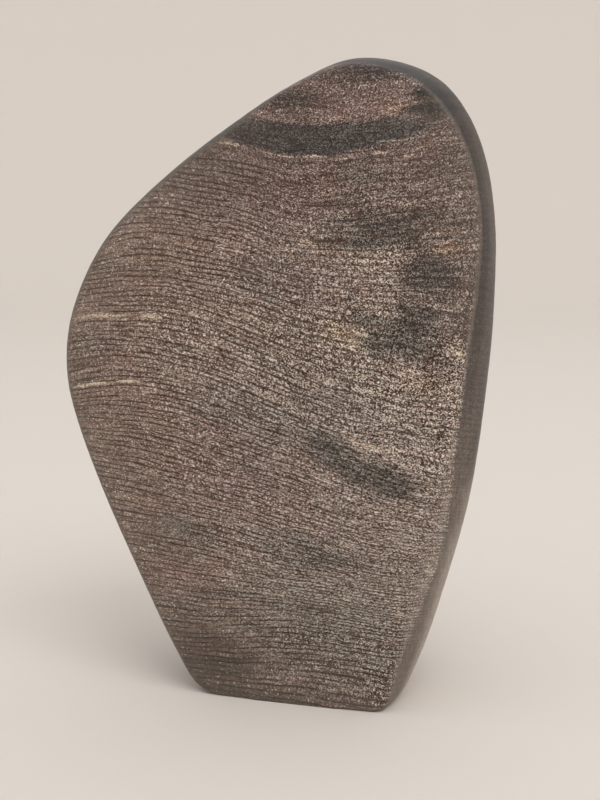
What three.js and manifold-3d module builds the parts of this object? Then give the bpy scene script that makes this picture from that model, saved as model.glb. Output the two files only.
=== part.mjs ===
// A petrified wood freeform: one hand-shaped stone that stands upright on its sawn foot.
// It has a broad, nearly flat lapped face, a narrow rounded rim that swells out behind the
// face, and a domed back that is deepest low down, so that the stone stands by itself.
// Millimetres. +Z is up, -Y points out of the lapped face, and +X is to the right of it.
import * as THREE from "three";
import { mergeVertices } from "three/addons/utils/BufferGeometryUtils.js";
import Module from "manifold-3d";

// Driving dimensions
const STONE_DEPTH = 38; // from the edge of the face to the deepest point of the back
const FACE_CROWN = 0.5; // how far the middle of the face stands proud of its edge
const ARRIS = 1.1; // radius of the edge between face and wall
const SOFT_ARRIS = 2.4; // its radius low on the right, where it is worn rounder
const SOFT_ARRIS_HEIGHT = 34; // height where that wear is greatest
const SOFT_ARRIS_REACH = 26; // how far up and down from there it fades out
const SOFT_ARRIS_SIDE = { from: 10, full: 25 }; // across, where the wear begins and is full
const GIRDLE_DEPTH = 8; // how far behind the face the stone is widest
const CROWN_HEIGHT = 120;
const FACE_CENTRE = { x: 2, z: 60 };
const BACK_APEX = { x: 3, z: 45 }; // where the back is deepest

// The dome of the back is a superellipse: an exponent of 2 is round, and more is squarer.
const DOME_ACROSS = 2.4;
const DOME_DEEP_AT_FOOT = 2;
const DOME_DEEP_AT_CROWN = 1.45;
const FOOT_HOLD = 2.3; // how strongly the foot keeps low as the dome closes over it
const FOOT_HOLD_HEIGHT = 75; // height on the rim where that has faded out
const SOFT_FLATS = { count: 3, depth: 1.5, bearing: 0.6 }; // lapped round the back

const SAW_BLOCK = { width: 200, height: 40 }; // what the saw takes off below the foot

// How finely the surface is stepped
const STEPS_PER_RIM_POINT = 4;
const FACE_RINGS = 4;
const ARRIS_RINGS = 4;
const WALL_RINGS = 4;
const BACK_RINGS = 14;

// The edge of the lapped face, from the left end of the foot up the left side, over the
// crown and down the right side. swell is how far the girdle stands out beyond the edge.
const RIM = [
  { x: -8, z: -0.5, swell: 0 }, // left end of the foot
  { x: -14.3, z: 1.2, swell: 0.6 }, // left foot corner
  { x: -19.1, z: 8.4, swell: 1.4 },
  { x: -26.5, z: 23.4, swell: 1.8 },
  { x: -33.5, z: 38.8, swell: 2 },
  { x: -38.5, z: 52.1, swell: 2 },
  { x: -40.5, z: 60.5, swell: 1.9 }, // blunt corner on the left
  { x: -40.3, z: 69.1, swell: 1.8 },
  { x: -37.4, z: 78.4, swell: 1.7 },
  { x: -31.8, z: 87.9, swell: 1.5 },
  { x: -21.6, z: 97.8, swell: 1.3 },
  { x: -8, z: 107.5, swell: 1.2 },
  { x: 5, z: 115.6, swell: 1.2 },
  { x: 14.2, z: 119, swell: 1.3 }, // top of the crown
  { x: 22.6, z: 118, swell: 1.5 },
  { x: 29.2, z: 115, swell: 1.6 },
  { x: 34, z: 109.6, swell: 1.3 },
  { x: 37.6, z: 101.5, swell: 1 },
  { x: 39.3, z: 91, swell: 0.9 }, // widest on the right
  { x: 39, z: 82, swell: 1.4 },
  { x: 37.7, z: 70, swell: 2.3 },
  { x: 35.1, z: 55, swell: 3.4 },
  { x: 31.7, z: 38, swell: 4.2 },
  { x: 27.2, z: 19, swell: 3.6 },
  { x: 24.6, z: 7.5, swell: 2.4 },
  { x: 22.8, z: 0.9, swell: 0.8 }, // right foot corner
  { x: 18.5, z: -0.5, swell: 0 }, // right end of the foot
];

// The rim, stepped finely: each step has its place, its swell and (nx, nz), the direction
// that points out of the stone in the plane of the face.
function steppedRim() {
  const curve = new THREE.CatmullRomCurve3(
    RIM.map((p) => new THREE.Vector3(p.x, p.z, p.swell)),
    true,
    "centripetal",
  );
  const steps = RIM.length * STEPS_PER_RIM_POINT;
  return Array.from({ length: steps }, (_, i) => {
    const point = curve.getPoint(i / steps);
    const along = curve.getTangent(i / steps);
    const length = Math.hypot(along.x, along.y);
    return {
      x: point.x,
      z: point.y,
      swell: Math.max(point.z, 0),
      nx: -along.y / length,
      nz: along.x / length,
    };
  });
}

// The arris is softer low on the right side than anywhere else.
function arrisAt(rim) {
  const distance = (rim.z - SOFT_ARRIS_HEIGHT) / SOFT_ARRIS_REACH;
  const side = THREE.MathUtils.smoothstep(rim.x, SOFT_ARRIS_SIDE.from, SOFT_ARRIS_SIDE.full);
  const wear = side * Math.exp(-distance * distance);
  return THREE.MathUtils.lerp(ARRIS, SOFT_ARRIS, wear);
}

// The lapped face: share is 1 at the arris and 0 in the middle.
function facePoint(rim, share) {
  const arris = arrisAt(rim);
  return new THREE.Vector3(
    THREE.MathUtils.lerp(FACE_CENTRE.x, rim.x - rim.nx * arris, share),
    -FACE_CROWN * (1 - share * share),
    THREE.MathUtils.lerp(FACE_CENTRE.z, rim.z - rim.nz * arris, share),
  );
}

// The quarter round between face and wall: turn grows from 0 at the face to 90 degrees.
function arrisPoint(rim, turn) {
  const arris = arrisAt(rim);
  const inset = arris * (1 - Math.sin(turn));
  const y = arris * (1 - Math.cos(turn));
  return new THREE.Vector3(rim.x - rim.nx * inset, y, rim.z - rim.nz * inset);
}

// The wall swells out from the arris to the girdle.
function wallPoint(rim, share) {
  const y = THREE.MathUtils.lerp(arrisAt(rim), GIRDLE_DEPTH, share);
  const out = rim.swell * Math.sin((share * Math.PI) / 2);
  return new THREE.Vector3(rim.x + rim.nx * out, y, rim.z + rim.nz * out);
}

// The domed back: share is 1 at the girdle and 0 at the deepest point.
function backPoint(rim, share) {
  const edge = wallPoint(rim, 1);
  const height = rim.z / CROWN_HEIGHT;
  const deep = THREE.MathUtils.lerp(DOME_DEEP_AT_FOOT, DOME_DEEP_AT_CROWN, height);
  const rise = (1 - share ** DOME_ACROSS) ** (1 / deep);
  const bearing = Math.atan2(rim.z - BACK_APEX.z, rim.x - BACK_APEX.x);
  const wave = Math.cos(SOFT_FLATS.count * bearing + SOFT_FLATS.bearing);
  const flat = SOFT_FLATS.depth * wave * share * Math.sin(Math.PI * share) ** 2;
  const faded = THREE.MathUtils.smoothstep(rim.z, 0, FOOT_HOLD_HEIGHT);
  const hold = THREE.MathUtils.lerp(FOOT_HOLD, 1, faded);
  return new THREE.Vector3(
    THREE.MathUtils.lerp(BACK_APEX.x, edge.x, share),
    THREE.MathUtils.lerp(GIRDLE_DEPTH, STONE_DEPTH, rise) - flat,
    THREE.MathUtils.lerp(edge.z, BACK_APEX.z, (1 - share) ** hold),
  );
}

// Every ring of points, from the middle of the face outwards and round to the back.
function stoneRings() {
  const rim = steppedRim();
  const rings = [];
  for (let i = 1; i <= FACE_RINGS; i++)
    rings.push(rim.map((p) => facePoint(p, Math.sqrt(i / FACE_RINGS))));
  for (let i = 1; i <= ARRIS_RINGS; i++)
    rings.push(rim.map((p) => arrisPoint(p, ((i / ARRIS_RINGS) * Math.PI) / 2)));
  for (let i = 1; i <= WALL_RINGS; i++)
    rings.push(rim.map((p) => wallPoint(p, i / WALL_RINGS)));
  for (let i = 1; i < BACK_RINGS; i++)
    rings.push(rim.map((p) => backPoint(p, Math.cos(((i / BACK_RINGS) * Math.PI) / 2))));
  return rings;
}

// Joins the rings into one closed skin, with a fan of triangles at each end.
function skinOf(frontPole, rings, backPole) {
  const around = rings[0].length;
  const points = [frontPole, ...rings.flat(), backPole];
  const last = points.length - 1;
  const at = (ring, i) => 1 + ring * around + (i % around);
  const triangles = [];
  for (let i = 0; i < around; i++) {
    triangles.push(0, at(0, i + 1), at(0, i));
    triangles.push(last, at(rings.length - 1, i), at(rings.length - 1, i + 1));
    for (let ring = 0; ring < rings.length - 1; ring++) {
      triangles.push(at(ring, i), at(ring + 1, i + 1), at(ring + 1, i));
      triangles.push(at(ring, i), at(ring, i + 1), at(ring + 1, i + 1));
    }
  }
  return new THREE.BufferGeometry().setFromPoints(points).setIndex(triangles);
}

const wasm = await Module();
wasm.setup();

function solidOf(geometry) {
  return new wasm.Manifold(
    new wasm.Mesh({
      numProp: 3,
      vertProperties: new Float32Array(geometry.attributes.position.array),
      triVerts: new Uint32Array(geometry.index.array),
    }),
  );
}

function geometryOf(solid) {
  const mesh = solid.getMesh();
  return new THREE.BufferGeometry()
    .setAttribute("position", new THREE.BufferAttribute(mesh.vertProperties, 3))
    .setIndex(new THREE.BufferAttribute(mesh.triVerts, 1));
}

// The block below z = 0 that the saw takes off to leave a flat foot.
function sawnOff() {
  const { width, height } = SAW_BLOCK;
  const block = new THREE.BoxGeometry(width, width, height).translate(0, 0, -height / 2);
  return mergeVertices(block.deleteAttribute("normal").deleteAttribute("uv"));
}

const skin = skinOf(
  new THREE.Vector3(FACE_CENTRE.x, -FACE_CROWN, FACE_CENTRE.z),
  stoneRings(),
  new THREE.Vector3(BACK_APEX.x, STONE_DEPTH, BACK_APEX.z),
);
const geometry = geometryOf(solidOf(skin).subtract(solidOf(sawnOff())));
geometry.computeVertexNormals();
geometry.computeBoundingBox();
const middle = geometry.boundingBox.getCenter(new THREE.Vector3());

const stone = new THREE.Mesh(
  geometry,
  new THREE.MeshStandardMaterial({ color: 0x74635a, roughness: 0.5, metalness: 0 }),
);
stone.name = "stone";
stone.position.set(-middle.x, -middle.y, 0); // the origin is on the floor, under the middle

const freeform = new THREE.Group();
freeform.add(stone);

export default freeform;
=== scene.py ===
"""A shaped piece of petrified wood that stands upright on its sawn foot."""

import math

import bpy
from bpy.props import FloatProperty, FloatVectorProperty, PointerProperty
from mathutils import Euler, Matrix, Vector, noise


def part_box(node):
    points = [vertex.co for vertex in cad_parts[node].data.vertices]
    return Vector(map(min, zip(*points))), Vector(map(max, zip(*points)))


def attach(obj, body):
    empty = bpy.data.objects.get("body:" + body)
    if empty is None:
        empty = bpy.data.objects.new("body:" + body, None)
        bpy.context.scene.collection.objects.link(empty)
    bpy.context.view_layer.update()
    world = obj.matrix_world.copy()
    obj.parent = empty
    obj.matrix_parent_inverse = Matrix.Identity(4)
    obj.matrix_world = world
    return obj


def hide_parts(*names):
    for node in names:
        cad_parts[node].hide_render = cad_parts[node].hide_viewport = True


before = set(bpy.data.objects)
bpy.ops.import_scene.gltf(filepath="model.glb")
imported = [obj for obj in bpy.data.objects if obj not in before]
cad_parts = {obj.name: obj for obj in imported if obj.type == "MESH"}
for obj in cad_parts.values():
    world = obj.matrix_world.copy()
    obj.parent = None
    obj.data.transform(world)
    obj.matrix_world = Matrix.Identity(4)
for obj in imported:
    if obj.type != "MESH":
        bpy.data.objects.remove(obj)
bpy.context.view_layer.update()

bl_info = {
    "name": "Petrified wood freeform",
    "version": (1, 0, 0),
    "blender": (4, 5, 0),
    "location": "View3D > Sidebar > Freeform",
    "description": "A lapped and hand-rubbed piece of petrified wood on a pale studio floor",
    "category": "Add Mesh",
}

STONE_LOW, STONE_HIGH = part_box("stone")
MM = 0.001
STONE_BODY = "root"


def linear(hex_colour):
    """Turns an sRGB hex colour into the linear values that Blender's sockets take."""
    channels = [int(hex_colour[i : i + 2], 16) / 255 for i in (1, 3, 5)]
    return tuple(c / 12.92 if c <= 0.04045 else ((c + 0.055) / 1.055) ** 2.4 for c in channels)


# The grain of the wood is nearly level at the crown and the foot, and drops to the right in
# between. Places on the stone are in mm: across from the middle, and up from the foot.
# Each bend has its drop in mm at each height, and the share of it at each place across.
BEND_HEIGHTS = (0, 15, 30, 45, 60, 75, 90, 105, 120)
BEND_PLACES = (-40, -24, -8, 8, 24, 40)
GRAIN_BENDS = (
    {"drop": (1, -1, 6, 8, 9, 6, 4.5, 2.5, 1.5), "share": (0.6, 0, 0.3, 1, 1.1, 1)},
    {"drop": (0, 3, 4.5, 7, 4, 2.5, -2, -3, -2), "share": (-0.9, 0, 0.1, -0.1, 0.5, 1)},
)
GRAIN_LEAN = 0.12  # how far the grain climbs for each mm behind the face
GRAIN_WANDER = 1.1  # mm that a grain line strays from its course, over a centimetre or two
GRAIN_WANDER_SIZE = (16, 10, 9)

# Marks in the stone: how far to the right, how high across the grain, half the length and half
# the thickness, in mm, and how strong. They bend with the grain.
CHARCOAL_BAND = (
    (8, 108.6, 22, 2.9, 1),
    (20, 108.6, 12, 2.4, 0.8),
    (31, 111.5, 7, 1.1, 0.5),
    (33, 114, 7, 1, 0.5),
)
CREAM_STREAKS = (
    (-5.2, 105.8, 3.6, 0.32, 1.0),
    (3.5, 105.9, 6, 0.24, 0.6),
    (10, 105.9, 2.6, 0.28, 1.0),
    (16, 105.3, 2.2, 0.22, 0.6),
    (22.1, 105.4, 2, 0.24, 0.6),
    (27, 104.7, 1.8, 0.24, 0.7),
    (24.5, 107.2, 4.5, 0.22, 0.35),
    (-32, 73.6, 8, 0.5, 0.8),
    (-21.4, 73.5, 2.6, 0.45, 1.7),
    (-34, 61, 4.2, 0.42, 1.6),
    (-26, 61.2, 3, 0.36, 1.2),
    (19, 79.8, 1.8, 0.5, 0.9),
    (36.2, 79.8, 2.2, 0.6, 0.8),
    (13.4, 72.5, 3.4, 0.45, 0.6),
    (21, 72.3, 4.4, 0.45, 0.5),
    (21.1, 63.1, 6.6, 0.45, 0.65),
    (2, 66, 7, 0.35, 0.35),
    (16.3, 25.2, 4.4, 1.4, 0.22),
)
OCHRE_STAINS = (
    (10.9, 101.9, 9, 4, 0.3),
    (10.9, 93.1, 5.5, 1.8, 0.5),
    (34.8, 91.1, 4.2, 1.3, 1.0),
    (16, 79.4, 8, 3.2, 0.45),
    (30.7, 75.3, 9, 3, 0.35),
    (-25.7, 73.3, 14, 1.6, 0.35),
    (25, 112, 5, 1.2, 0.6),
)
GREY_PATCHES_AND_FOOT_SHADE = (
    (31.5, 113.2, 5.5, 6, 1.0),
    (21, 120, 17, 4, 1.1),
    (5, 115, 10, 3.4, 0.75),
    (24, 94.6, 18, 4.2, 0.75),
    (20.4, 93, 8, 2.2, 0.9),
    (30.8, 88.1, 8, 3.6, 0.9),
    (29.2, 84.2, 6, 2, 1.0),
    (20, 81.8, 6, 2.2, 0.7),
    (27, 80.6, 9, 4, 1.2),
    (21.5, 79.4, 4.5, 2.6, 1.1),
    (13.4, 59.6, 7.5, 5, 1.0),
    (21.8, 57, 10.5, 4.8, 1.3),
    (-15, 6, 18.5, 10.5, 1.1),
    # A painted shade: a dark strip along the foot, where its edge rounds down to the floor.
    (0, 0.6, 30, 2.8, 0.9),
)
DEEP_BROWN = (
    (5, 104, 60, 16, 1.0),
    (10, 116, 40, 10, 1.1),
    (36, 88, 16, 22, 0.6),
    (5, 87, 19, 9, 0.6),
    (14, 69, 15, 7, 0.6),
    (0, 54, 24, 24, 0.35),
    (14, 36, 18, 8, 0.65),
)
GREY_WOOD = (
    (0, 83.3, 9, 3.6, 0.6),
    (0.2, 61.9, 16, 6, 0.6),
    (-16, 33.7, 12, 7, 0.8),
    (8.5, 36, 18, 8, 0.7),
    (-15, 17.2, 9, 6, 0.8),
    (10, 13, 34, 24, 0.85),
    (18.5, 101.5, 8, 5, 0.6),
)
PINK_STAINS = (
    (23, 113.8, 9, 3, 0.3),
    (32.7, 104.6, 9, 3.4, 0.5),
    (-8.5, 46, 11, 4, 0.5),
    (21.8, 47.3, 6, 2.4, 0.4),
    (-17, 25.3, 12, 2.6, 0.5),
)
CALM_PLACES = (  # with weaker grit than elsewhere
    (-15, 6, 20, 11, 1.0),
    # Weaker grit in the painted shade along the foot.
    (4, 0.5, 32, 3.2, 0.9),
    (33, 113, 8, 5, 0.4),
)
# Cracks have an angle to the grain in place of the strength, in degrees, anticlockwise as the
# face is looked at.
CRACKS = (
    (-21.2, 24.7, 1.8, 0.3, 0),
    (-21.2, 21.5, 1.8, 0.3, -12),
    (-15.7, 12.5, 3.4, 0.3, 0),
    (-12.2, 13.6, 1.3, 0.28, 90),
    (-9.6, 9.6, 2.1, 0.25, -72),
    (10.9, 19.6, 6.5, 0.3, 0),
    (19.5, 14.6, 6.5, 0.24, 0),
    (-9.5, 21.6, 5, 0.24, 0),
    (12, 98.7, 6.5, 0.24, 0),
    (27.5, 67.3, 3, 0.3, 0),
    (12.5, 93.3, 4.2, 0.3, 0),
    (-36.3, 64.7, 2.6, 0.3, 0),
    (-33.7, 66, 4, 0.25, 0),
    (-34.9, 61.8, 2.6, 0.25, 0),
    (-2, 65.1, 2.2, 0.3, 0),
)
CRACK_REACH_BACK = 4  # mm behind the face
CRACK_SHOULDER = 0.25  # mm by which the pressed-in groove is wider than the dark line

# Places on the stone: across, behind the face and up, with the reach each way, in mm.
# Where the growth lines are weaker, and by what share.
PLAIN_PLACES = (
    ((15, 0, 116), (34, 30, 11), 0.95),
    ((28, 0, 94), (38, 30, 26), 0.35),
    ((32, 0, 54), (26, 30, 30), 0.2),
)
# How bold the grit is everywhere, in the charcoal band besides, and where it is bolder.
GRIT_BOLDNESS = 1.15
BAND_BOLDNESS = 0.6
GRIT_PLACES = (
    ((26, 0, 60), (52, 60, 58), 1.6),
    ((22, 0, 20), (34, 60, 26), 1.1),
    ((26, 0, 68), (75, 60, 11), 0.9),
)
# Where the face's finish runs round its edge, and how many mm round.
WORN_EDGES = (
    ((32, 0, 32), (16, 30, 42), 3.8),
    ((10, 0, 118), (24, 30, 10), 2.4),
)
# Painted floor reflections that make the rim paler, low on the right and on a facet there, and how
# near to it is palest.
LOW_RIM_PAINTED_LIGHT = ((30, 5, 0), (42, 40, 90), 0.8)
FACET_PAINTED_REFLECTION_PLACE = ((30, 9, 12), (22, 18, 46), 0.6)
LINE_WIDTH = 0.24  # half the width of a growth line, as a share of the usual spacing

LAPPING_WAVE_SIZE = 17  # mm
WORN_LINE_SIZE = (9, 6, 1.1)  # mm across, in depth and across the grain
SHARP_FOOT = 0.4  # mm above the floor that the relief leaves alone
FLOOR_STEPS = 128
BACKDROP_STEPS = 16
# The lamps' places in m, and the place that the camera looks at: across, behind the face and
# up, in mm.
KEY_PLACE = (0.6, -0.7, 0.95)
FILL_PLACE = (-0.9, -0.8, 0.5)
CAMERA_AIM = (7.43, 0.5, 59.1)


class StoneSettings(bpy.types.PropertyGroup):
    """Sizes and colours of the stone."""

    voxel_size: FloatProperty(
        name="Surface detail",
        description="Distance between the points of the stone's surface",
        default=0.55 * MM,
        min=0.4 * MM,
        unit="LENGTH",
    )
    lapping_wave: FloatProperty(
        name="Lapping wave",
        description="How far the hand-lapped rim and back stray from a true curve",
        default=0.35 * MM,
        unit="LENGTH",
    )
    grain_relief: FloatProperty(
        name="Grain relief",
        description="How deep the softer growth lines are worn below the harder ones",
        default=0.06 * MM,
        unit="LENGTH",
    )
    crack_depth: FloatProperty(
        name="Crack depth",
        description="How deep the open cracks are",
        default=0.3 * MM,
        unit="LENGTH",
    )
    line_spacing: FloatProperty(
        name="Growth line spacing",
        description="Usual distance between two growth lines",
        default=0.95 * MM,
        unit="LENGTH",
    )
    grit_size: FloatProperty(
        name="Grit size",
        description="Size of the quartz grains that show on the lapped face",
        default=0.12 * MM,
        unit="LENGTH",
    )
    grey: FloatVectorProperty(
        name="Grey",
        description="Grey-brown of the wood that is richer in silica",
        subtype="COLOR",
        default=linear("#715f53"),
    )
    # Dark grey of the grey patches, and of a painted shade in a strip along the foot.
    grey_patch_and_foot_shade: FloatVectorProperty(
        name="Grey patches",
        description="Dark grey of the patches richest in silica",
        subtype="COLOR",
        default=linear("#54453c"),
    )
    deep_brown: FloatVectorProperty(
        name="Deep brown",
        description="Darker brown of the wood towards the crown",
        subtype="COLOR",
        default=linear("#6c554c"),
    )
    brown: FloatVectorProperty(
        name="Brown",
        description="Usual brown of the wood",
        subtype="COLOR",
        default=linear("#7e6659"),
    )
    pink: FloatVectorProperty(
        name="Pink",
        description="Brown reddened by iron",
        subtype="COLOR",
        default=linear("#806359"),
    )
    line: FloatVectorProperty(
        name="Growth lines",
        description="Dark growth lines",
        subtype="COLOR",
        default=linear("#2e1a0f"),
    )
    # Pale grit colours: partly the quartz's own colour and partly painted glints of its crystals.
    grit: FloatVectorProperty(
        name="Pale grit",
        description="Pale quartz grains, clear or greenish",
        subtype="COLOR",
        default=linear("#dbdfd2"),
    )
    warm_grit: FloatVectorProperty(
        name="Warm grit",
        description="Pale quartz grains that iron has stained",
        subtype="COLOR",
        default=linear("#edd5ca"),
    )
    dark_grit: FloatVectorProperty(
        name="Dark grit",
        description="Pits and dark grains between the pale ones",
        subtype="COLOR",
        default=linear("#29160b"),
    )
    charcoal: FloatVectorProperty(
        name="Charcoal",
        description="Carbon-rich band below the crown",
        subtype="COLOR",
        default=linear("#4a3f38"),
    )
    cream: FloatVectorProperty(
        name="Cream",
        description="Streaks of pale chalcedony",
        subtype="COLOR",
        default=linear("#e2d3bd"),
    )
    ochre: FloatVectorProperty(
        name="Ochre",
        description="Stains of iron oxide",
        subtype="COLOR",
        default=linear("#8c6e58"),
    )
    # A dark painted reflection: the band of the rim just behind the face's edge, except low on the
    # right.
    rubbed: FloatVectorProperty(
        name="Rubbed rim",
        description="Darker brown where the stone is rubbed smooth",
        subtype="COLOR",
        default=linear("#2c2725"),
    )
    rubbed_back: FloatVectorProperty(
        name="Rubbed back",
        description="Grey-brown of the back, and of the rim away from the face",
        subtype="COLOR",
        default=linear("#413935"),
    )
    # A painted highlight along the face's edge, and a painted reflection of the floor on the low
    # rim.
    rim_painted_light: FloatVectorProperty(
        name="Rubbed rim, low",
        description="Lighter brown of the rubbed rim near the foot",
        subtype="COLOR",
        default=linear("#6a6058"),
    )
    # A pale painted reflection of the floor, on a facet low on the right behind the rim.
    facet_painted_reflection: FloatVectorProperty(
        name="Pale facet",
        description="Pale scuffed brown, low on the right behind the rim",
        subtype="COLOR",
        default=linear("#9c9186"),
    )
    face_roughness: FloatProperty(
        name="Face roughness",
        description="Roughness of the lapped face",
        default=0.55,
        min=0,
        max=1,
        subtype="FACTOR",
    )
    rubbed_roughness: FloatProperty(
        name="Rubbed roughness",
        description="Roughness of the rubbed rim and back",
        default=0.42,
        min=0,
        max=1,
        subtype="FACTOR",
    )


class StageSettings(bpy.types.PropertyGroup):
    """Sizes, colours and lights of the studio."""

    floor_radius: FloatProperty(
        name="Floor radius",
        description="Radius of the round floor, whose edge curves up into the backdrop",
        default=1.1,
        unit="LENGTH",
    )
    backdrop_height: FloatProperty(
        name="Backdrop height",
        description="How high the backdrop stands round the floor",
        default=0.8,
        unit="LENGTH",
    )
    backdrop_curve: FloatProperty(
        name="Backdrop curve",
        description="Radius of the curve from the floor up into the backdrop",
        default=0.45,
        unit="LENGTH",
    )
    floor_colour: FloatVectorProperty(
        name="Floor",
        description="Warm white of the floor and the backdrop",
        subtype="COLOR",
        default=linear("#dcd5ce"),
    )
    sky_light: FloatProperty(
        name="Sky light",
        description="Brightness of the soft light from all round",
        default=0.96,
        min=0,
    )
    key_power: FloatProperty(
        name="Key light",
        description="Power of the large lamp on the right",
        default=7.5,
        min=0,
        unit="POWER",
    )
    key_size: FloatProperty(
        name="Key light size",
        description="Side of the large lamp on the right",
        default=0.9,
        unit="LENGTH",
    )
    fill_power: FloatProperty(
        name="Fill light",
        description="Power of the weak lamp on the left",
        default=1.5,
        min=0,
        unit="POWER",
    )
    fill_size: FloatProperty(
        name="Fill light size",
        description="Side of the weak lamp on the left",
        default=0.8,
        unit="LENGTH",
    )
    camera_distance: FloatProperty(
        name="Camera distance",
        description="From the camera to the lapped face",
        default=255.6 * MM,
        unit="LENGTH",
    )
    camera_azimuth: FloatProperty(
        name="Camera azimuth",
        description="How far the camera stands to the right of the face's own direction",
        default=math.radians(16.02),
        unit="ROTATION",
    )
    camera_elevation: FloatProperty(
        name="Camera elevation",
        description="How far the camera looks down",
        default=math.radians(10),
        unit="ROTATION",
    )
    field_of_view: FloatProperty(
        name="Field of view",
        description="Angle that the picture's height takes in",
        default=math.radians(32),
        unit="ROTATION",
    )


def add_node(tree, kind, inputs=(), **settings):
    """Adds a node with its settings, then fills its inputs, by name or in order.

    An input is a plain value, an output socket, or a node that gives its first output.
    """
    node = tree.nodes.new(kind)
    for name, value in settings.items():
        setattr(node, name, value)
    sockets = [socket for socket in node.inputs if socket.enabled]
    by_name = {socket.name: socket for socket in reversed(sockets)}
    pairs = inputs.items() if isinstance(inputs, dict) else enumerate(inputs)
    for key, value in pairs:
        socket = sockets[key] if isinstance(key, int) else by_name[key]
        if isinstance(value, bpy.types.Node):
            value = next(output for output in value.outputs if output.enabled)
        if isinstance(value, bpy.types.NodeSocket):
            tree.links.new(value, socket)
        else:
            socket.default_value = value
    return node


def opaque(colour):
    """A colour socket's value, with its alpha."""
    return (*colour, 1)


def grain_space(tree):
    """Gives places in the stone as (across, depth, height) in mm, three times over.

    "upright" has the true height. "plain" has the height across the grain, which straightens
    the grain's bends: the relief, the cracks and most marks share it. "bent" wanders a little
    too, for the lines, the grit and the finer marks. The marks are spread over both, because
    Cycles draws the stone black where one place feeds more than about 80 of them.
    """
    place = add_node(tree, "ShaderNodeTexCoord").outputs["Object"]
    in_mm = add_node(
        tree, "ShaderNodeVectorMath", {"Vector": place, "Scale": 1 / MM}, operation="SCALE"
    )
    axes = add_node(tree, "ShaderNodeSeparateXYZ", [in_mm]).outputs
    face = STONE_LOW.y / MM
    depth = add_node(tree, "ShaderNodeMath", [axes["Y"], face], operation="SUBTRACT")
    upright = add_node(tree, "ShaderNodeCombineXYZ", [axes["X"], depth, axes["Z"]])
    height = add_node(
        tree, "ShaderNodeMath", [depth, GRAIN_LEAN, axes["Z"]], operation="MULTIPLY_ADD"
    )
    curves = []
    for bend in GRAIN_BENDS:
        pair = []
        for source, at, name in (
            (axes["Z"], BEND_HEIGHTS, "drop"),
            (axes["X"], BEND_PLACES, "share"),
        ):
            points = list(zip(at, bend[name]))
            node = add_node(tree, "ShaderNodeFloatCurve", {"Value": source}, label=name)
            node.mapping.use_clip = False
            knots = node.mapping.curves[0].points
            knots[0].location = points[0]
            knots[1].location = points[-1]
            for point in points[1:-1]:
                knots.new(*point)
            node.mapping.update()
            pair.append(node)
        height = add_node(tree, "ShaderNodeMath", [*pair, height], operation="MULTIPLY_ADD")
        curves.append(pair)
    plain = add_node(tree, "ShaderNodeCombineXYZ", [axes["X"], depth, height])
    size = add_node(tree, "ShaderNodeVectorMath", [plain, GRAIN_WANDER_SIZE], operation="DIVIDE")
    wander = add_node(tree, "ShaderNodeTexNoise", {"Vector": size, "Scale": 1, "Detail": 2})
    strayed = add_node(
        tree,
        "ShaderNodeMapRange",
        {"Value": wander, "To Min": -GRAIN_WANDER, "To Max": GRAIN_WANDER},
    )
    wandering = add_node(tree, "ShaderNodeMath", [height, strayed], operation="ADD")
    bent = add_node(tree, "ShaderNodeCombineXYZ", [axes["X"], depth, wandering])
    return {
        "upright": upright,
        "plain": plain,
        "bent": bent,
        "depth": depth,
        "height": axes["Z"],
        "curves": curves,
    }


def grain_height(curves, point):
    """Height across the grain in mm of a point on the stone, without the wander."""
    place = point / MM
    height = place.z + GRAIN_LEAN * (place.y - STONE_LOW.y / MM)
    for drop, share in curves:
        down = drop.mapping.evaluate(drop.mapping.curves[0], place.z)
        height += down * share.mapping.evaluate(share.mapping.curves[0], place.x)
    return height


def noise_layer(tree, space, size, low, high, detail=2, least=0, most=1):
    """Patches of the given size in mm: least where the noise is below low, most above high."""
    scaled = add_node(tree, "ShaderNodeVectorMath", [space, size], operation="DIVIDE")
    level = add_node(
        tree, "ShaderNodeTexNoise", {"Vector": scaled, "Scale": 1, "Detail": detail}
    )
    return add_node(
        tree,
        "ShaderNodeMapRange",
        {"Value": level, "From Min": low, "From Max": high, "To Min": least, "To Max": most},
    )


def nearness(tree, space, place, reach, turn=0):
    """How near a place is: 1 there, and 0 at the reach along each axis."""
    spot = add_node(
        tree,
        "ShaderNodeMapping",
        {"Vector": space, "Location": place, "Scale": reach, "Rotation": (0, -turn, 0)},
        vector_type="TEXTURE",
    )
    return add_node(tree, "ShaderNodeTexGradient", [spot], gradient_type="SPHERICAL")


def marks(tree, space, frayed, places, reach, edge):
    """Where the marks of one kind lie: each is drawn out along the grain, with frayed ends.

    They fade out at the reach, in mm behind the face. They are full where their strength,
    which falls off from the middle outwards, is above the edge.
    """
    strongest = None
    for across, height, half_length, half_thickness, strength in places:
        extent = (half_length, reach, half_thickness)
        near = nearness(tree, space, (across, 0, height), extent)
        shown = add_node(tree, "ShaderNodeMath", [near, strength], operation="MULTIPLY")
        if strongest is not None:
            shown = add_node(tree, "ShaderNodeMath", [shown, strongest], operation="MAXIMUM")
        strongest = shown
    uneven = add_node(tree, "ShaderNodeMath", [strongest, frayed], operation="MULTIPLY")
    return add_node(
        tree,
        "ShaderNodeMapRange",
        {"Value": uneven, "From Max": edge},
        interpolation_type="SMOOTHSTEP",
    )


def slow_colours(tree, space, settings):
    """Grey, brown and pink that change slowly, in layers along the grain."""
    hue = noise_layer(tree, space["bent"], (20, 14, 5), 0.25, 0.75, detail=3)
    ramp = add_node(tree, "ShaderNodeValToRGB", [hue])
    stops = ramp.color_ramp.elements
    stops[0].color = opaque(settings.grey)
    stops[1].color = opaque(settings.pink)
    stops.new(0.45).color = opaque(settings.brown)
    tone = noise_layer(
        tree, space["bent"], (14, 8, 1.8), 0.25, 0.75, detail=4, least=0.75, most=1.25
    )
    return add_node(
        tree, "ShaderNodeVectorMath", {"Vector": ramp, "Scale": tone}, operation="SCALE"
    )


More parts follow.
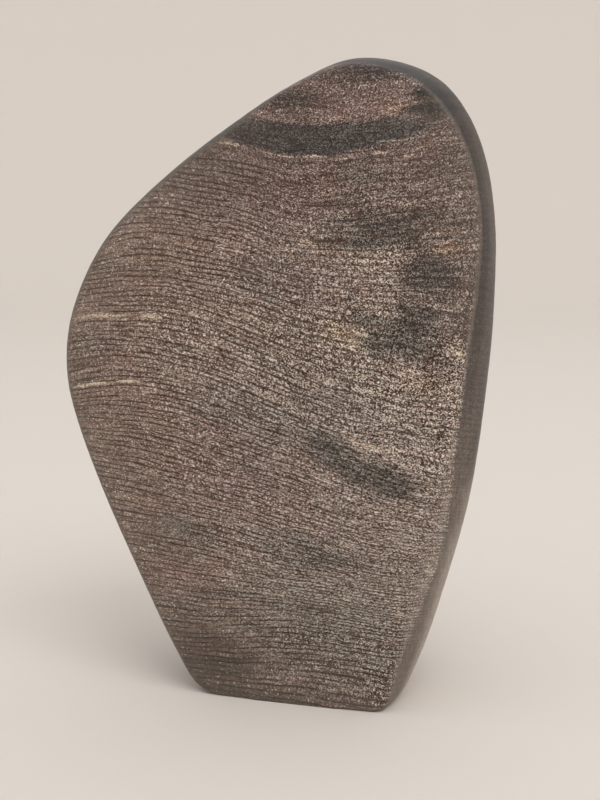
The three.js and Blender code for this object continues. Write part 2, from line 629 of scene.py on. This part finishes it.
def with_stains(tree, space, ragged, colour, patches, band, settings):
    """Stains that tint everything in the stone: grains, lines and all.

    Each multiplies the colour below by its own colour over the usual brown. The grey patches also
    lay a painted shade along the foot.
    """
    stains = (
        (marks(tree, space, ragged, DEEP_BROWN, reach=30, edge=0.8), settings.deep_brown),
        (marks(tree, space, ragged, GREY_WOOD, reach=14, edge=0.7), settings.grey),
        (patches, settings.grey_patch_and_foot_shade),
        (marks(tree, space, ragged, PINK_STAINS, reach=10, edge=0.7), settings.pink),
        (marks(tree, space, ragged, OCHRE_STAINS, reach=8, edge=0.7), settings.ochre),
        (band, settings.charcoal),
    )
    for share, tint in stains:
        ratio = (*(stained / usual for stained, usual in zip(tint, settings.brown)), 1)
        colour = add_node(
            tree, "ShaderNodeMix", [share, colour, ratio], data_type="RGBA", blend_type="MULTIPLY"
        )
    return colour


def with_grit(tree, space, colour, calm, band, settings):
    """Pale and dark quartz grains, in rows, and boldest to the right of the middle.

    The real grains are finer than a pixel of the picture. They are drawn as coarse as they
    need to be to show. The pale grains are partly the quartz's own colour and partly painted
    glints of its crystals, and the sparks over them are painted glints. Gives the colour, how
    pale each grain is, and how near its middle is.
    """
    grain = settings.grit_size / MM
    bold = GRIT_BOLDNESS
    for place, reach, extra in GRIT_PLACES:
        near = nearness(tree, space["bent"], place, reach)
        bold = add_node(tree, "ShaderNodeMath", [near, extra, bold], operation="MULTIPLY_ADD")
    kept = add_node(tree, "ShaderNodeMapRange", {"Value": calm, "To Min": 1, "To Max": 0.6})
    strength = add_node(tree, "ShaderNodeMath", [bold, kept], operation="MULTIPLY")
    strength = add_node(
        tree, "ShaderNodeMath", [band, BAND_BOLDNESS, strength], operation="MULTIPLY_ADD"
    )
    size = (1.5 * grain, 1.2 * grain, grain)
    scaled = add_node(tree, "ShaderNodeVectorMath", [space["bent"], size], operation="DIVIDE")
    cells = add_node(tree, "ShaderNodeTexVoronoi", {"Vector": scaled, "Scale": 1})
    chance, other_chance, _ = add_node(
        tree, "ShaderNodeSeparateColor", [cells.outputs["Color"]]
    ).outputs
    pale_tint = add_node(
        tree,
        "ShaderNodeMix",
        [other_chance, opaque(settings.grit), opaque(settings.warm_grit)],
        data_type="RGBA",
    )
    rows = noise_layer(tree, space["bent"], (5, 3, 0.45), 0.3, 0.7, least=-0.13, most=0.13)
    rows = add_node(tree, "ShaderNodeMath", [bold, 0.01, rows], operation="MULTIPLY_ADD")
    pale = add_node(tree, "ShaderNodeMath", [chance, rows], operation="ADD")
    for low, high, most, tint in (
        (0.6, 0.1, 0.7, opaque(settings.dark_grit)),
        (0.65, 1, 0.5, pale_tint),
    ):
        shown = add_node(
            tree,
            "ShaderNodeMapRange",
            {"Value": pale, "From Min": low, "From Max": high, "To Max": most},
        )
        share = add_node(tree, "ShaderNodeMath", [shown, strength], operation="MULTIPLY")
        colour = add_node(tree, "ShaderNodeMix", [share, colour, tint], data_type="RGBA")
    # Painted glints: tiny pale specks that stand for light caught by the quartz crystals.
    painted_glints = noise_layer(tree, space["bent"], (0.4, 0.35, 0.3), 0.72, 0.78, detail=0)
    colour = add_node(tree, "ShaderNodeMix", [painted_glints, colour, pale_tint], data_type="RGBA")
    return colour, pale, cells.outputs["Distance"]


def growth_rings(tree, space, settings):
    """How near a place is to a growth line, and the number of the growth line it is near.

    The spacing is uneven, because the height that is counted off strays to and fro.
    """
    pitch = settings.line_spacing / MM
    strayed = noise_layer(tree, space["bent"], (18, 9, 2.2), 0, 1, most=1.1)
    height = add_node(tree, "ShaderNodeSeparateXYZ", [space["bent"]]).outputs["Z"]
    count = add_node(tree, "ShaderNodeMath", [height, 1 / pitch, strayed], operation="MULTIPLY_ADD")
    number = add_node(tree, "ShaderNodeMath", [count], operation="ROUND")
    offset = add_node(tree, "ShaderNodeMath", [count, number], operation="SUBTRACT")
    distance = add_node(tree, "ShaderNodeMath", [offset], operation="ABSOLUTE")
    near = add_node(
        tree,
        "ShaderNodeMapRange",
        {"Value": distance, "From Min": LINE_WIDTH, "From Max": 0.2 * LINE_WIDTH},
    )
    axes = add_node(tree, "ShaderNodeSeparateXYZ", [space["bent"]]).outputs
    along = add_node(tree, "ShaderNodeCombineXYZ", [axes["X"], axes["Y"], number])
    return near, along


def with_growth_lines(tree, space, colour, settings):
    """Thin dark lines along the grain, each of which comes and goes, and is dotted besides."""
    near, along = growth_rings(tree, space, settings)
    shown = noise_layer(tree, along, (8, 6, 0.37), 0.34, 0.5)
    dotted = noise_layer(tree, along, (1.2, 1, 0.37), 0.35, 0.55, least=0.6)
    share = add_node(tree, "ShaderNodeMath", [near, shown], operation="MULTIPLY")
    share = add_node(tree, "ShaderNodeMath", [share, dotted], operation="MULTIPLY")
    for place, reach, less in PLAIN_PLACES:
        plain = nearness(tree, space["bent"], place, reach)
        kept = add_node(
            tree,
            "ShaderNodeMapRange",
            {"Value": plain, "From Max": 0.4, "To Min": 1, "To Max": 1 - less},
        )
        share = add_node(tree, "ShaderNodeMath", [share, kept], operation="MULTIPLY")
    tint = opaque(settings.line)
    return add_node(tree, "ShaderNodeMix", [share, colour, tint], data_type="RGBA"), share


def with_cracks(tree, space, colour, settings):
    """Dark cracks: thin, a few mm long, some of them across the grain."""
    deepest = None
    for across, height, half_length, half_width, turn in CRACKS:
        extent = (half_length, CRACK_REACH_BACK, half_width)
        near = nearness(
            tree, space["plain"], (across, 0, height), extent, turn=math.radians(turn)
        )
        if deepest is not None:
            near = add_node(tree, "ShaderNodeMath", [near, deepest], operation="MAXIMUM")
        deepest = near
    share = add_node(
        tree, "ShaderNodeMapRange", {"Value": deepest, "From Max": 0.5, "To Max": 0.85}
    )
    tint = opaque(settings.line)
    return add_node(tree, "ShaderNodeMix", [share, colour, tint], data_type="RGBA")


def rubbed(tree, space, colour, pale, settings):
    """The rim and back, rubbed darker and smoother than the face.

    Where the edge is worn, the face's own finish runs round it, and its pale grains reach
    farthest. The rim is streaked along its length, and its colour holds painted light: a
    painted highlight along the face's edge, a dark painted reflection in the band just behind
    it, painted reflections of the floor low on the right and on a facet there, and a painted
    shade that darkens it towards the crown.
    """
    worn = 0
    for place, reach, width in WORN_EDGES:
        near = nearness(tree, space["upright"], place, reach)
        worn = add_node(tree, "ShaderNodeMath", [near, width, worn], operation="MULTIPLY_ADD")
    spread = add_node(tree, "ShaderNodeMapRange", {"Value": pale, "To Min": 0.6, "To Max": 1.4})
    worn = add_node(tree, "ShaderNodeMath", [worn, spread], operation="MULTIPLY")
    inside = add_node(tree, "ShaderNodeMath", [space["depth"], worn], operation="SUBTRACT")
    polish = add_node(
        tree,
        "ShaderNodeMapRange",
        {"Value": inside, "From Min": 0.2, "From Max": 1},
        interpolation_type="SMOOTHSTEP",
    )
    patchy = noise_layer(
        tree, space["upright"], (13, 10, 8), 0.3, 0.7, detail=4, least=0.85, most=1.35
    )
    paler = []
    for place, reach, full in (LOW_RIM_PAINTED_LIGHT, FACET_PAINTED_REFLECTION_PLACE):
        near = nearness(tree, space["upright"], place, reach)
        uneven = add_node(tree, "ShaderNodeMath", [near, patchy], operation="MULTIPLY")
        paler.append(
            add_node(
                tree,
                "ShaderNodeMapRange",
                {"Value": uneven, "From Max": full},
                interpolation_type="SMOOTHSTEP",
            )
        )
    low, facet = paler
    # The face's edge gets a painted highlight.
    tint = opaque(settings.rim_painted_light)
    # Bands behind the face: a dark painted reflection next to it, then the back's own grey-brown;
    # low on the right a painted floor reflection instead, and a paler painted reflection on the
    # facet.
    for start, end, place, high_tint, low_tint in (
        (0.8, 1.6, low, settings.rubbed, settings.rim_painted_light),
        (2.4, 5, low, settings.rubbed_back, settings.rim_painted_light),
        # Pale painted reflection of the floor on the facet low on the right.
        (4.5, 7.5, facet, settings.rubbed_back, settings.facet_painted_reflection),
    ):
        beyond = add_node(
            tree,
            "ShaderNodeMapRange",
            {"Value": space["depth"], "From Min": start, "From Max": end},
            interpolation_type="SMOOTHSTEP",
        )
        behind = add_node(
            tree, "ShaderNodeMix", [place, opaque(high_tint), opaque(low_tint)], data_type="RGBA"
        )
        tint = add_node(tree, "ShaderNodeMix", [beyond, tint, behind], data_type="RGBA")
    streaks = noise_layer(tree, space["upright"], (0.5, 0.35, 9), 0.3, 0.7, least=0.75, most=1.25)
    # A painted shade: the rim's colour darkens towards the crown.
    crown = add_node(
        tree,
        "ShaderNodeMapRange",
        {"Value": space["height"], "From Min": 96, "From Max": 113, "To Min": 1, "To Max": 0.6},
    )
    away = add_node(
        tree, "ShaderNodeMapRange", {"Value": space["depth"], "From Min": 9, "From Max": 15}
    )
    shade = add_node(tree, "ShaderNodeMix", [away, streaks, patchy])
    shade = add_node(tree, "ShaderNodeMath", [shade, crown], operation="MULTIPLY")
    tint = add_node(
        tree, "ShaderNodeVectorMath", {"Vector": tint, "Scale": shade}, operation="SCALE"
    )
    cover = add_node(tree, "ShaderNodeMapRange", {"Value": away, "To Min": 0.88, "To Max": 0.7})
    share = add_node(tree, "ShaderNodeMath", [polish, cover], operation="MULTIPLY")
    colour = add_node(tree, "ShaderNodeMix", [share, colour, tint], data_type="RGBA")
    return colour, polish


def stone_material(settings):
    """Petrified wood, lapped flat on the face and rubbed smooth by hand on the rim.

    Silica has taken the place of the wood. The eye gets a satin surface with growth lines
    under a millimetre apart, pale quartz grit on the lapped face that the rubbed rim lacks,
    and slow changes between grey, brown and pink where iron has stained the silica. The
    colour also holds painted light: glints in the grit, a painted highlight, a dark painted
    reflection and painted floor reflections on the rim, and painted shade on the rim towards
    the crown and along the foot.
    """
    material = bpy.data.materials.new("petrified_wood_lapped")
    material.use_nodes = True
    tree = material.node_tree
    tree.nodes.clear()
    space = grain_space(tree)
    bent = space["bent"]
    plain = space["plain"]
    frayed = noise_layer(tree, bent, (2.5, 2, 0.35), 0.3, 0.7, least=0.5, most=1.5)
    colour = slow_colours(tree, space, settings)
    band = marks(tree, plain, frayed, CHARCOAL_BAND, reach=90, edge=0.25)
    calm = marks(tree, bent, frayed, CALM_PLACES, reach=20, edge=0.5)
    ragged = noise_layer(tree, bent, (9, 5, 1.0), 0.25, 0.75, detail=4, least=0.2, most=1.8)
    # Grey patches, with the painted shade along the foot.
    patches = marks(tree, plain, ragged, GREY_PATCHES_AND_FOOT_SHADE, reach=10, edge=0.7)
    colour, pale, domes = with_grit(tree, space, colour, calm, band, settings)
    colour, line = with_growth_lines(tree, space, colour, settings)
    colour = with_stains(tree, plain, ragged, colour, patches, band, settings)
    streaks = marks(tree, bent, frayed, CREAM_STREAKS, reach=5, edge=0.5)
    grainy = add_node(
        tree, "ShaderNodeMapRange", {"Value": pale, "From Min": 0.2, "From Max": 0.7, "To Max": 0.9}
    )
    share = add_node(tree, "ShaderNodeMath", [streaks, grainy], operation="MULTIPLY")
    tint = opaque(settings.cream)
    colour = add_node(tree, "ShaderNodeMix", [share, colour, tint], data_type="RGBA")
    colour = with_cracks(tree, space, colour, settings)
    colour, polish = rubbed(tree, space, colour, pale, settings)
    roughness = add_node(
        tree,
        "ShaderNodeMapRange",
        {
            "Value": polish,
            "To Min": settings.face_roughness,
            "To Max": settings.rubbed_roughness,
        },
    )
    sunk = add_node(tree, "ShaderNodeMath", [domes, line], operation="ADD")
    bump = add_node(
        tree, "ShaderNodeBump", {"Strength": 1, "Distance": -0.018 * MM, "Height": sunk}
    )
    shader = add_node(
        tree,
        "ShaderNodeBsdfPrincipled",
        {
            "Base Color": colour,
            "Roughness": roughness,
            "IOR": 1.54,  # quartz
            "Specular IOR Level": 0.3,  # a worn skin shines less than clear quartz
            "Normal": bump,
        },
    )
    add_node(tree, "ShaderNodeOutputMaterial", {"Surface": shader})
    return material, space["curves"]


def select_only(piece):
    """Makes one object the only selected and active one."""
    bpy.ops.object.select_all(action="DESELECT")
    piece.select_set(True)
    bpy.context.view_layer.objects.active = piece


def apply_modifier(piece, kind, **settings):
    """Adds a modifier with its settings and applies it."""
    modifier = piece.modifiers.new(kind.lower(), kind)
    for name, value in settings.items():
        setattr(modifier, name, value)
    bpy.ops.object.modifier_apply(modifier=modifier.name)


def merged_copy(node, name):
    """A new object with a copy of a CAD node's mesh, its doubles merged."""
    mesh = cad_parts[node].data.copy()
    piece = bpy.data.objects.new(name, mesh)
    bpy.context.scene.collection.objects.link(piece)
    mesh.materials.clear()
    select_only(piece)
    bpy.ops.object.mode_set(mode="EDIT")
    bpy.ops.mesh.select_all(action="SELECT")
    bpy.ops.mesh.remove_doubles(threshold=0.01 * MM)
    bpy.ops.mesh.tris_convert_to_quads()
    bpy.ops.object.mode_set(mode="OBJECT")
    return piece


class FREEFORM_OT_add_stone(bpy.types.Operator):
    """Adds the stone, with its fine surface, in place of the plain solid"""

    bl_idname = "freeform.add_stone"
    bl_label = "Add stone"

    def execute(self, context):
        settings = context.scene.freeform_stone
        stone = merged_copy("stone", "petrified_wood_stone")
        crease_foot(stone)
        apply_modifier(stone, "SUBSURF", levels=2, render_levels=2)
        apply_modifier(stone, "REMESH", mode="VOXEL", voxel_size=settings.voxel_size)
        apply_modifier(stone, "SMOOTH", factor=0.5, iterations=3)
        material, curves = stone_material(settings)
        stone.data.materials.append(material)
        wear_surface(stone, settings, curves)
        bpy.ops.object.shade_smooth()
        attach(stone, STONE_BODY)
        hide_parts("stone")
        return {"FINISHED"}


def crease_foot(stone):
    """Keeps the edge of the sawn foot crisp when the surface is subdivided."""
    bpy.ops.object.mode_set(mode="EDIT")
    bpy.ops.mesh.select_mode(type="EDGE")
    bpy.ops.mesh.select_all(action="DESELECT")
    bpy.ops.object.mode_set(mode="OBJECT")
    on_foot = {v.index for v in stone.data.vertices if v.co.z < 0.05 * MM}
    for edge in stone.data.edges:
        edge.select = set(edge.vertices) <= on_foot
    bpy.ops.object.mode_set(mode="EDIT")
    bpy.ops.transform.edge_crease(value=1)
    bpy.ops.object.mode_set(mode="OBJECT")


def wear_surface(stone, settings, curves):
    """Presses the surface in: the lapping's slow waves, worn growth lines and cracks."""
    reliefs = (
        ("lapping", settings.lapping_wave, lapping_at),
        ("grain", -settings.grain_relief, worn_line_at),
        ("cracks", -settings.crack_depth, crack_at),
    )
    heights = [grain_height(curves, vertex.co) for vertex in stone.data.vertices]
    for name, deep, share_at in reliefs:
        group = stone.vertex_groups.new(name=name)
        for vertex, height in zip(stone.data.vertices, heights):
            if vertex.co.z > SHARP_FOOT * MM:
                share = share_at(vertex.co / MM, height)
                if share > 0:
                    group.add([vertex.index], min(share, 1), "REPLACE")
        apply_modifier(
            stone, "DISPLACE", vertex_group=name, strength=deep, mid_level=0, direction="NORMAL"
        )
        stone.vertex_groups.clear()


def lapping_at(place, height):
    """Slow waves on the rim and back, which fade out on the flat face."""
    wave = noise.noise(place / LAPPING_WAVE_SIZE)
    behind = min(max((place.y - STONE_LOW.y / MM - 1) / 3, 0), 1)
    return (0.3 + 0.7 * wave) * behind


def worn_line_at(place, height):
    """Softer growth lines, worn a little lower."""
    along, inwards, upwards = WORN_LINE_SIZE
    spot = Vector((place.x / along, place.y / inwards, height / upwards))
    lines = noise.fractal(spot, 1, 2, 2)
    return 0.5 + 0.5 * lines


def crack_at(place, height):
    """The open cracks of the face."""
    deepest = 0
    depth = place.y - STONE_LOW.y / MM
    for across, level, half_length, half_width, turn in CRACKS:
        spot = Vector((place.x - across, depth, height - level))
        if spot.length > half_length + 1:
            continue
        spot.rotate(Euler((0, math.radians(turn), 0)))
        groove = half_width + CRACK_SHOULDER
        flat = Vector((spot.x / half_length, spot.y / CRACK_REACH_BACK, spot.z / groove))
        deepest = max(deepest, 1 - flat.length)
    return deepest


class FREEFORM_OT_add_stage(bpy.types.Operator):
    """Adds the pale floor, the soft studio lights and the camera"""

    bl_idname = "freeform.add_stage"
    bl_label = "Add stage"

    def execute(self, context):
        settings = context.scene.freeform_stage
        add_floor(settings)
        add_lights(context, settings)
        add_camera(context, settings)
        context.scene.view_settings.view_transform = "Standard"
        return {"FINISHED"}


def add_floor(settings):
    """A round floor whose edge is drawn up into a backdrop that goes all the way round."""
    radius = settings.floor_radius
    bpy.ops.object.select_all(action="DESELECT")
    bpy.ops.mesh.primitive_circle_add(vertices=FLOOR_STEPS, radius=radius, fill_type="NGON")
    floor = bpy.context.active_object
    floor.name = "studio_floor"
    rise = (0, 0, settings.backdrop_height)
    bpy.ops.object.mode_set(mode="EDIT")
    bpy.ops.mesh.select_mode(type="EDGE")
    bpy.ops.mesh.select_all(action="SELECT")
    bpy.ops.mesh.extrude_edges_move(TRANSFORM_OT_translate={"value": rise})
    bpy.ops.mesh.select_all(action="DESELECT")
    bpy.ops.object.mode_set(mode="OBJECT")
    corners = floor.data.vertices
    for edge in floor.data.edges:
        edge.select = all(corners[i].co.z < 1 * MM for i in edge.vertices)
    bpy.ops.object.mode_set(mode="EDIT")
    bpy.ops.mesh.bevel(
        offset=settings.backdrop_curve, segments=BACKDROP_STEPS, affect="EDGES"
    )
    bpy.ops.object.mode_set(mode="OBJECT")
    bpy.ops.object.shade_smooth()
    material = bpy.data.materials.new("studio_paper")  # warm white, matt and even
    material.use_nodes = True
    shader = material.node_tree.nodes["Principled BSDF"]
    shader.inputs["Base Color"].default_value = opaque(settings.floor_colour)
    shader.inputs["Roughness"].default_value = 0.9
    floor.data.materials.append(material)


def add_lights(context, settings):
    """A large soft lamp on the right, a weak one on the left, and light from all round."""
    lamps = (
        ("key", settings.key_power, settings.key_size, KEY_PLACE),
        ("fill", settings.fill_power, settings.fill_size, FILL_PLACE),
    )
    middle = (STONE_LOW + STONE_HIGH) / 2
    for name, power, size, place in lamps:
        lamp = bpy.data.lights.new(name, "AREA")
        lamp.energy = power
        lamp.size = size
        holder = bpy.data.objects.new(name, lamp)
        context.scene.collection.objects.link(holder)
        holder.location = place
        holder.rotation_euler = (middle - Vector(place)).to_track_quat("-Z", "Y").to_euler()
    world = bpy.data.worlds.new("studio_air")
    world.use_nodes = True
    sky = world.node_tree.nodes["Background"]
    sky.inputs["Color"].default_value = (1, 1, 1, 1)
    sky.inputs["Strength"].default_value = settings.sky_light
    context.scene.world = world


def add_camera(context, settings):
    """The camera, a little to the right of the face and above the middle of the stone."""
    lens = bpy.data.cameras.new("camera")
    lens.lens = lens.sensor_width / 2 / math.tan(settings.field_of_view / 2)
    camera = bpy.data.objects.new("camera", lens)
    context.scene.collection.objects.link(camera)
    turn = Euler((math.pi / 2 - settings.camera_elevation, 0, settings.camera_azimuth))
    aim = Vector(CAMERA_AIM) * MM
    aim.y += STONE_LOW.y
    back = Vector((0, 0, settings.camera_distance))
    back.rotate(turn)
    camera.rotation_euler = turn
    camera.location = aim + back
    context.scene.camera = camera


class FREEFORM_PT_panel(bpy.types.Panel):
    """Lists the operators and their settings in the sidebar of the 3D view."""

    bl_label = "Petrified wood freeform"
    bl_idname = "FREEFORM_PT_panel"
    bl_space_type = "VIEW_3D"
    bl_region_type = "UI"
    bl_category = "Freeform"

    def draw(self, context):
        scene = context.scene
        parts = (
            ("freeform.add_stone", scene.freeform_stone),
            ("freeform.add_stage", scene.freeform_stage),
        )
        for operator, settings in parts:
            box = self.layout.box()
            box.operator(operator)
            for name in settings.__annotations__:
                box.prop(settings, name)


CLASSES = (
    StoneSettings,
    StageSettings,
    FREEFORM_OT_add_stone,
    FREEFORM_OT_add_stage,
    FREEFORM_PT_panel,
)


def register():
    for cls in CLASSES:
        bpy.utils.register_class(cls)
    bpy.types.Scene.freeform_stone = PointerProperty(type=StoneSettings)
    bpy.types.Scene.freeform_stage = PointerProperty(type=StageSettings)


def unregister():
    del bpy.types.Scene.freeform_stage
    del bpy.types.Scene.freeform_stone
    for cls in reversed(CLASSES):
        bpy.utils.unregister_class(cls)


def main():
    register()
    bpy.ops.freeform.add_stone()
    bpy.ops.freeform.add_stage()


if __name__ == "__main__":
    main()
